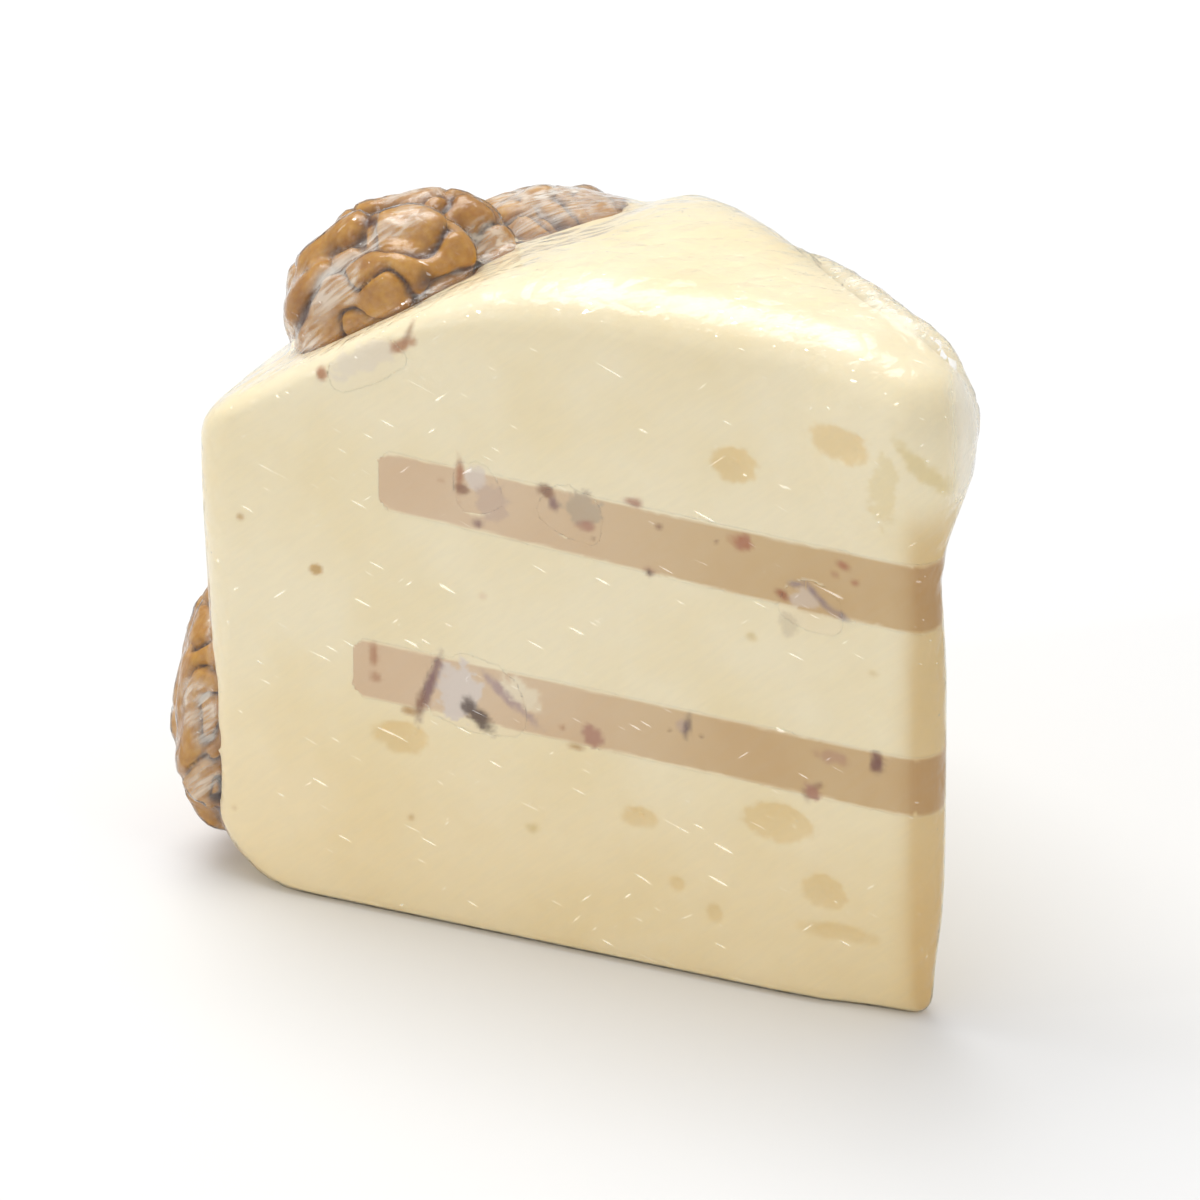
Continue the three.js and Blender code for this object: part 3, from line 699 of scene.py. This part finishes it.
everything = bmesh.new()
crest = []
nut_top = []
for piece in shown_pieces():
    if not piece.name.startswith(("white_cheese", "walnut_half")):
        continue
    everything.from_mesh(piece.data)
    places = [v.co.copy() for v in piece.data.vertices]
    top = max(place.z for place in places)
    if piece.name == "white_cheese_body":
        crest = [p for p in places if p.z > top - CREST and p.y > AXIS.y + CREST_FROM]
    if piece.name == "walnut_half_shoulder_back":
        nut_top = [p for p in places if p.z > top - NUT_TOP]
everything.from_mesh(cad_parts["film_gather"].data)
print("film is stretched from", len(nut_top), "places on a walnut to", len(crest), "on the crest")
add_mesh(everything, tent(nut_top + crest))
film_bm = remeshed(everything, FILM_VOXEL, FILM_SMOOTHING)
film_bm.normal_update()

INNER_TREES = [CHEESE_TREE, *walnut_trees]


def stand_off(place):
    """How far a place lies outside everything that the film covers."""
    nearest = 1e9
    for tree in INNER_TREES:
        hit, normal, _, distance = tree.find_nearest(place)
        if (place - hit).dot(normal) < 0:
            distance = -distance
        nearest = min(nearest, distance)
    return nearest


def pushed_out(verts):
    """Moves film vertices out of what they cover, and gives back how far each one stands off."""
    gaps = []
    for vert in verts:
        gap = stand_off(vert.co)
        if gap < FILM_CLEAR:
            vert.co += vert.normal * (FILM_CLEAR - gap)
        vert.co.z = max(vert.co.z, BASE_CLEAR)
        gaps.append(max(gap, FILM_CLEAR))
    return gaps


# %% Stretch the film
NUT_REACH = 5 * MM  # film this near a walnut half is stretched over its furrows
LOOSE_FROM = 0.6 * MM  # film further out than this hangs free


def film_smoothed(verts, rounds):
    for _ in range(rounds):
        bmesh.ops.smooth_vert(
            film_bm, verts=verts, factor=0.5, use_axis_x=True, use_axis_y=True, use_axis_z=True
        )


near_nuts = [
    v for v in film_bm.verts
    if any(tree.find_nearest(v.co, NUT_REACH)[0] is not None for tree in walnut_trees)
]
film_smoothed([v for v in film_bm.verts if stand_off(v.co) > LOOSE_FROM], 10)
for _ in range(2):
    film_smoothed(near_nuts, 6)
    film_bm.normal_update()
    pushed_out(near_nuts)
gaps = pushed_out(film_bm.verts)
print("film", len(film_bm.verts), "vertices,", len(near_nuts), "near the walnut halves")


# %% Film material
TEXTURE_SPACE = {"vector_type": "TEXTURE"}  # a scale in it draws a pattern out along the turned x axis


def film_material():
    # Clear and crinkled: sharp small highlights and hair-thin glints over what is under it, and a
    # milky veil where it stands off.
    material = new_material("stretch film, clear and crinkled")
    where = add_node(material, "ShaderNodeTexCoord").outputs["Object"]
    haze = add_node(material, "ShaderNodeAttribute", {"attribute_name": "haze"}).outputs["Fac"]
    bubble = add_node(material, "ShaderNodeAttribute", {"attribute_name": "bubble"}).outputs["Fac"]
    pulled = add_node(
        material, "ShaderNodeMapping", TEXTURE_SPACE,
        Vector=where, Rotation=(0.1, -0.7, 0.2), Scale=(12.0, 1.0, 1.0),
    ).outputs[0]
    crossing = add_node(
        material, "ShaderNodeMapping", TEXTURE_SPACE,
        Vector=where, Rotation=(0.1, 0.35, 0.1), Scale=(22.0, 1.0, 1.0),
    ).outputs[0]
    streak = add_node(
        material, "ShaderNodeTexNoise", Vector=pulled, Scale=1 / (0.6 * MM), Detail=1.0
    )
    scratch = add_node(
        material, "ShaderNodeTexNoise", Vector=crossing, Scale=1 / (0.35 * MM), Detail=0.0
    )
    facet = add_node(
        material, "ShaderNodeTexVoronoi", {"feature": "DISTANCE_TO_EDGE"},
        Vector=where, Scale=1 / (3.4 * MM), Randomness=1.0,
    )
    height = add_node(
        material, "ShaderNodeMath", {"operation": "MULTIPLY_ADD"},
        _0=streak.outputs[0], _1=0.2, _2=facet.outputs[0],
    )
    bump = add_node(
        material, "ShaderNodeBump", Height=height.outputs[0], Strength=0.6, Distance=0.7 * MM
    )

    # Short creases are the peaks of the two streaky patterns.
    first = add_node(
        material, "ShaderNodeMapRange", _0=streak.outputs[0], _1=0.76, _2=0.81, _3=0.0, _4=0.65
    )
    second = add_node(
        material, "ShaderNodeMapRange", _0=scratch.outputs[0], _1=0.80, _2=0.85, _3=0.0, _4=0.65
    )
    crease = add_node(
        material, "ShaderNodeMath", {"operation": "MAXIMUM"}, _0=first.outputs[0], _1=second.outputs[0]
    )

    # Loose film is whitish in streaks, and evenly whitish over a bubble.
    uneven = add_node(
        material, "ShaderNodeMapRange", _0=streak.outputs[0], _1=0.36, _2=0.62, _3=0.35, _4=1.6
    )
    streaked = add_node(
        material, "ShaderNodeMath", {"operation": "MULTIPLY", "use_clamp": True},
        _0=haze, _1=uneven.outputs[0],
    )
    veil_share = add_node(
        material, "ShaderNodeMath", {"operation": "MAXIMUM"}, _0=streaked.outputs[0], _1=bubble
    )

    # A crease leans upwards, so it mirrors the lamps where the film round it does not.
    normal = add_node(material, "ShaderNodeNewGeometry").outputs["Normal"]
    raised = add_node(
        material, "ShaderNodeVectorMath", {"operation": "ADD"}, _0=normal, _1=(0, 0, 0.55)
    ).outputs[0]
    lifted = add_node(material, "ShaderNodeVectorMath", {"operation": "NORMALIZE"}, _0=raised).outputs[0]
    clear = add_node(material, "ShaderNodeBsdfTransparent", Color=(1, 1, 1, 1))
    white = add_node(material, "ShaderNodeBsdfDiffuse", Color=linear("FFFAEE"))
    gloss = add_node(
        material, "ShaderNodeBsdfGlossy", Color=(1, 1, 1, 1), Roughness=0.2, Normal=bump.outputs[0]
    )
    glint = add_node(
        material, "ShaderNodeBsdfGlossy", Color=(0.5, 0.5, 0.5, 1), Roughness=0.3, Normal=lifted
    )
    fresnel = add_node(material, "ShaderNodeFresnel", IOR=1.45, Normal=bump.outputs[0])
    veil = add_node(
        material, "ShaderNodeMixShader", _0=veil_share.outputs[0], _1=clear.outputs[0], _2=white.outputs[0]
    )
    skin = add_node(
        material, "ShaderNodeMixShader", _0=fresnel.outputs[0], _1=veil.outputs[0], _2=gloss.outputs[0]
    )
    glinting = add_node(
        material, "ShaderNodeAddShader", _0=skin.outputs[0], _1=glint.outputs[0]
    )
    creased = add_node(
        material, "ShaderNodeMixShader",
        _0=crease.outputs[0], _1=skin.outputs[0], _2=glinting.outputs[0],
    )
    add_node(material, "ShaderNodeOutputMaterial", Surface=creased.outputs[0])
    return material


STRETCH_FILM = film_material()

# %% Crumple and finish the film
BUBBLE_SIDE = Vector((0.9, 0.43, 0)).normalized()  # where air is caught under the bunch at the tip
CRUMPLE_DEPTH = 0.15 * MM
# Shares of whiteness: tight film, loose film, its folds, the bubble at the tip and veils over the nuts
TIGHT, LOOSE, FOLDED, BUBBLED, VEILED = 0.02, 0.16, 0.1, 0.66, 0.3


def crumple(place):
    """1 on the folds of loose film, down to -1 between them."""
    warp = noise.noise_vector(place / (6 * MM)) * 0.8
    return 1 - 2 * abs(noise.noise(Vector((place.x, place.y, 0.45 * place.z)) / (3.2 * MM) + warp))


film_bm.normal_update()
haze_values = []
bubble_values = []
for vert, gap in zip(film_bm.verts, gaps):
    loose = smooth_step(0.3 * MM, 1.3 * MM, gap)
    fold = crumple(vert.co)
    bubble = smooth_step(0.4, 0.85, vert.normal.dot(BUBBLE_SIDE))
    bubble *= smooth_step(57 * MM, 63 * MM, vert.co.z)
    bubble *= smooth_step(12 * MM, 7 * MM, (vert.co - AXIS).xy.length)
    vert.co += vert.normal * loose * CRUMPLE_DEPTH * fold
    vert.co.z = max(vert.co.z, BASE_CLEAR)
    over_nut = gap < 3 * MM and any(t.find_nearest(vert.co, 1.5 * MM)[0] for t in walnut_trees)
    veiled = smooth_step(-0.05, 0.3, noise.noise(vert.co / (6.5 * MM))) if over_nut else 0.0
    haze_values.append(TIGHT + loose * (LOOSE + FOLDED * max(0.0, fold)) + VEILED * veiled)
    bubble_values.append(BUBBLED * bubble)
film = finished(film_bm, "film_wrap", STRETCH_FILM, ["film_gather"])
film.visible_shadow = False  # clear film throws no shadow on the cheese under it
film.visible_diffuse = False
for name, values in {"haze": haze_values, "bubble": bubble_values}.items():
    layer = film.data.attributes.new(name, "FLOAT", "POINT")
    layer.data.foreach_set("value", values)

# %% [markdown]
# ## Floor, light and camera
# The photograph has a white table, one large soft light above and white walls round it. The camera looks
# down 26 degrees, from well back, so the upright edges stay nearly parallel.

# %% Floor
floor_bm = bmesh.new()
bmesh.ops.create_grid(floor_bm, x_segments=2, y_segments=2, size=3)
floor = as_object(floor_bm, "floor")
# Matt and nearly white: it takes a soft shadow and mirrors nothing.
floor_material = new_material("white table, matt")
floor_shader = add_node(
    floor_material, "ShaderNodeBsdfPrincipled", Base_Color=linear("EEEEEE"), Roughness=0.7
)
add_node(floor_material, "ShaderNodeOutputMaterial", Surface=floor_shader.outputs[0])
floor.data.materials.append(floor_material)


# %% Lights
LIT = Vector((0, 0, 0.04))  # what all lamps point at


def soft_box(name, place, width, height, watts):
    light = bpy.data.lights.new(name, "AREA")
    light.shape = "RECTANGLE"
    light.size, light.size_y = width, height
    light.energy = watts
    lamp = bpy.data.objects.new(name, light)
    lamp.location = place
    lamp.rotation_euler = (LIT - Vector(place)).to_track_quat("-Z", "Y").to_euler()
    scene.collection.objects.link(lamp)


# The top light stands behind the front cut's plane, so the dome is brighter than the cut.
soft_box("top light", (-0.27, 0.14, 0.72), 0.6, 0.4, 4.0)
soft_box("front fill", (-0.25, -1.15, 0.55), 0.8, 0.6, 0.9)
soft_box("left strip", (-0.7, -0.6, 0.5), 0.03, 0.5, 0.5)
soft_box("right strip", (0.8, -0.35, 0.6), 0.03, 0.5, 0.4)

world = bpy.data.worlds.new("white room")
world.use_nodes = True
world.node_tree.nodes["Background"].inputs["Color"].default_value = (1, 1, 1, 1)
world.node_tree.nodes["Background"].inputs["Strength"].default_value = 0.61
scene.world = world
scene.view_settings.view_transform = "Standard"

# %% Camera
AZIMUTH, ELEVATION = math.radians(24.8), math.radians(26)
CAMERA_DISTANCE = 2500 * MM
SCALE = 9.63  # pixels of the photograph to a millimetre at the aim
PHOTO_WIDTH = 1200  # pixels
SENSOR = 36  # millimetres, Blender's own
aim = AXIS + Vector((-46.2, 10, 35)) * MM
right = Vector((math.cos(AZIMUTH), math.sin(AZIMUTH), 0))
forward = Vector(
    (-math.sin(AZIMUTH) * math.cos(ELEVATION), math.cos(AZIMUTH) * math.cos(ELEVATION), -math.sin(ELEVATION))
)
up = right.cross(forward)
aim += right * -1.84 * MM + up * 1.56 * MM
camera = bpy.data.objects.new("camera", bpy.data.cameras.new("camera"))
camera.data.lens = SENSOR * SCALE * CAMERA_DISTANCE / MM / PHOTO_WIDTH
camera.data.clip_end = 20
camera.location = aim - forward * CAMERA_DISTANCE
camera.rotation_euler = forward.to_track_quat("-Z", "Y").to_euler()
scene.collection.objects.link(camera)
scene.camera = camera
print("lens", round(camera.data.lens), "mm")
